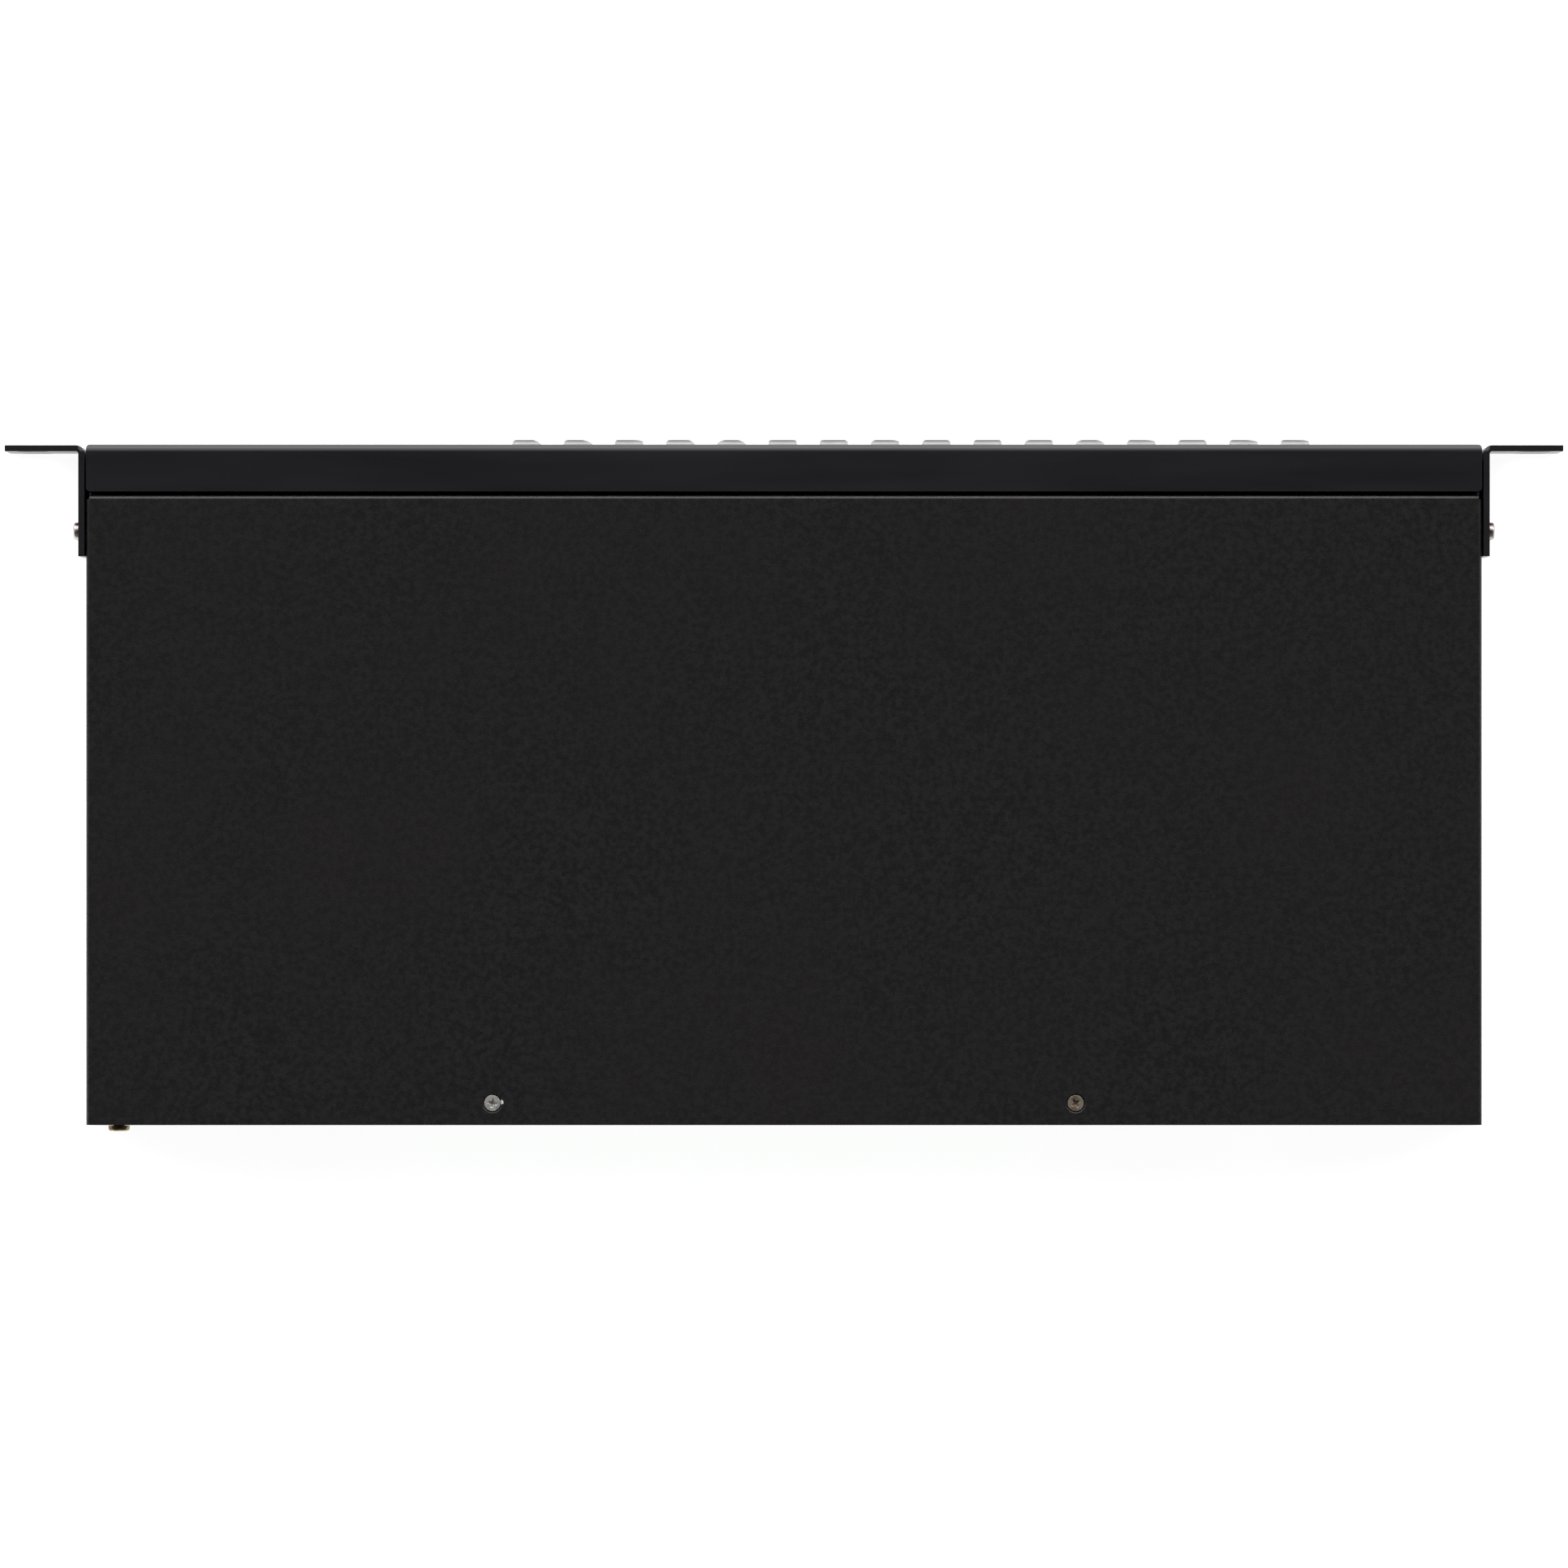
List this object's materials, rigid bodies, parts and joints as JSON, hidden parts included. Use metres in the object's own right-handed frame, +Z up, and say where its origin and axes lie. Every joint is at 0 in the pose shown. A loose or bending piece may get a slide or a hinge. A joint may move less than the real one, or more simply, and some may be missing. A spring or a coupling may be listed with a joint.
{
  "type": "rack-mount audio patch bay",
  "caption": "One-unit rack-mount audio patch bay: a row of push keys over a row of quarter-inch jacks, display window, and terminal headers, network and power sockets at the back.",
  "frame": {"origin": "centre of the underside of the whole object's box", "axes": "+X to the right of someone facing the front panel, +Y from front to back, +Z up"},
  "size_m": [0.4826, 0.2146, 0.0436],
  "materials": {
    "powder_coat": "fine-textured black powder coat",
    "satin_paint": "smooth satin black paint",
    "nickel_steel": "bright nickel plating with a warm cast",
    "brass": "dull yellow-passivated brass",
    "key_plastic": "frosted translucent light grey",
    "circuit_board": "green solder mask",
    "black_plastic": "fine moulded black",
    "green_plastic": "moulded green",
    "smoked_window": "polished smoked acrylic",
    "aluminium": "extruded, clear anodised",
    "tinned_shell": "tin-plated sheet",
    "ribbon": "grey ribbed cable",
    "capacitor_sleeve": "shrunk plastic sleeve"
  },
  "bodies": {
    "chassis": {"chassis_tray": "powder_coat", "top_cover": "powder_coat", "front_panel": "satin_paint", "left_rack_ear": "satin_paint", "right_rack_ear": "satin_paint", "left_ear_screw_lower": "nickel_steel", "left_ear_screw_upper": "nickel_steel", "right_ear_screw_lower": "nickel_steel", "right_ear_screw_upper": "nickel_steel", "left_cover_screw": "nickel_steel", "right_cover_screw": "nickel_steel", "front_panel_screw_1": "nickel_steel", "front_panel_screw_2": "nickel_steel", "front_panel_screw_3": "nickel_steel", "main_board_screw_1": "nickel_steel", "main_board_screw_2": "nickel_steel", "main_board_screw_3": "nickel_steel", "main_board_screw_4": "nickel_steel", "jack_board_screw_1": "nickel_steel", "jack_board_screw_2": "nickel_steel", "jack_board_screw_3": "nickel_steel", "ground_screw": "brass", "ground_washer": "brass", "power_light_pipe": "key_plastic", "key_board": "circuit_board", "jack_board": "circuit_board", "main_board": "circuit_board", "left_jack_strip": "black_plastic", "right_jack_strip": "black_plastic", "monitor_jack": "black_plastic", "dc_inlet": "black_plastic", "display_module": "black_plastic", "key_board_socket": "black_plastic", "main_board_socket": "black_plastic", "terminal_header_1": "green_plastic", "terminal_header_2": "green_plastic", "terminal_header_3": "green_plastic", "terminal_header_4": "green_plastic", "display_window": "smoked_window", "network_port": "tinned_shell", "regulator_heatsink": "aluminium", "ribbon_cable": "ribbon", "reservoir_capacitor_1": "capacitor_sleeve", "reservoir_capacitor_2": "capacitor_sleeve"},
    "key_01": {"keycap_01": "key_plastic"},
    "key_02": {"keycap_02": "key_plastic"},
    "key_03": {"keycap_03": "key_plastic"},
    "key_04": {"keycap_04": "key_plastic"},
    "key_05": {"keycap_05": "key_plastic"},
    "key_06": {"keycap_06": "key_plastic"},
    "key_07": {"keycap_07": "key_plastic"},
    "key_08": {"keycap_08": "key_plastic"},
    "key_09": {"keycap_09": "key_plastic"},
    "key_10": {"keycap_10": "key_plastic"},
    "key_11": {"keycap_11": "key_plastic"},
    "key_12": {"keycap_12": "key_plastic"},
    "key_13": {"keycap_13": "key_plastic"},
    "key_14": {"keycap_14": "key_plastic"},
    "key_15": {"keycap_15": "key_plastic"},
    "key_16": {"keycap_16": "key_plastic"}
  },
  "joints": [
    {"name": "key_01_press", "type": "slide", "parent": "chassis", "child": "key_01", "axis": [0, 1, 0], "range_m": [0, 0.001], "stiffness_N_per_m": 500, "springref_m": -0.002},
    {"name": "key_02_press", "type": "slide", "parent": "chassis", "child": "key_02", "axis": [0, 1, 0], "range_m": [0, 0.001], "stiffness_N_per_m": 500, "springref_m": -0.002},
    {"name": "key_03_press", "type": "slide", "parent": "chassis", "child": "key_03", "axis": [0, 1, 0], "range_m": [0, 0.001], "stiffness_N_per_m": 500, "springref_m": -0.002},
    {"name": "key_04_press", "type": "slide", "parent": "chassis", "child": "key_04", "axis": [0, 1, 0], "range_m": [0, 0.001], "stiffness_N_per_m": 500, "springref_m": -0.002},
    {"name": "key_05_press", "type": "slide", "parent": "chassis", "child": "key_05", "axis": [0, 1, 0], "range_m": [0, 0.001], "stiffness_N_per_m": 500, "springref_m": -0.002},
    {"name": "key_06_press", "type": "slide", "parent": "chassis", "child": "key_06", "axis": [0, 1, 0], "range_m": [0, 0.001], "stiffness_N_per_m": 500, "springref_m": -0.002},
    {"name": "key_07_press", "type": "slide", "parent": "chassis", "child": "key_07", "axis": [0, 1, 0], "range_m": [0, 0.001], "stiffness_N_per_m": 500, "springref_m": -0.002},
    {"name": "key_08_press", "type": "slide", "parent": "chassis", "child": "key_08", "axis": [0, 1, 0], "range_m": [0, 0.001], "stiffness_N_per_m": 500, "springref_m": -0.002},
    {"name": "key_09_press", "type": "slide", "parent": "chassis", "child": "key_09", "axis": [0, 1, 0], "range_m": [0, 0.001], "stiffness_N_per_m": 500, "springref_m": -0.002},
    {"name": "key_10_press", "type": "slide", "parent": "chassis", "child": "key_10", "axis": [0, 1, 0], "range_m": [0, 0.001], "stiffness_N_per_m": 500, "springref_m": -0.002},
    {"name": "key_11_press", "type": "slide", "parent": "chassis", "child": "key_11", "axis": [0, 1, 0], "range_m": [0, 0.001], "stiffness_N_per_m": 500, "springref_m": -0.002},
    {"name": "key_12_press", "type": "slide", "parent": "chassis", "child": "key_12", "axis": [0, 1, 0], "range_m": [0, 0.001], "stiffness_N_per_m": 500, "springref_m": -0.002},
    {"name": "key_13_press", "type": "slide", "parent": "chassis", "child": "key_13", "axis": [0, 1, 0], "range_m": [0, 0.001], "stiffness_N_per_m": 500, "springref_m": -0.002},
    {"name": "key_14_press", "type": "slide", "parent": "chassis", "child": "key_14", "axis": [0, 1, 0], "range_m": [0, 0.001], "stiffness_N_per_m": 500, "springref_m": -0.002},
    {"name": "key_15_press", "type": "slide", "parent": "chassis", "child": "key_15", "axis": [0, 1, 0], "range_m": [0, 0.001], "stiffness_N_per_m": 500, "springref_m": -0.002},
    {"name": "key_16_press", "type": "slide", "parent": "chassis", "child": "key_16", "axis": [0, 1, 0], "range_m": [0, 0.001], "stiffness_N_per_m": 500, "springref_m": -0.002}
  ]
}
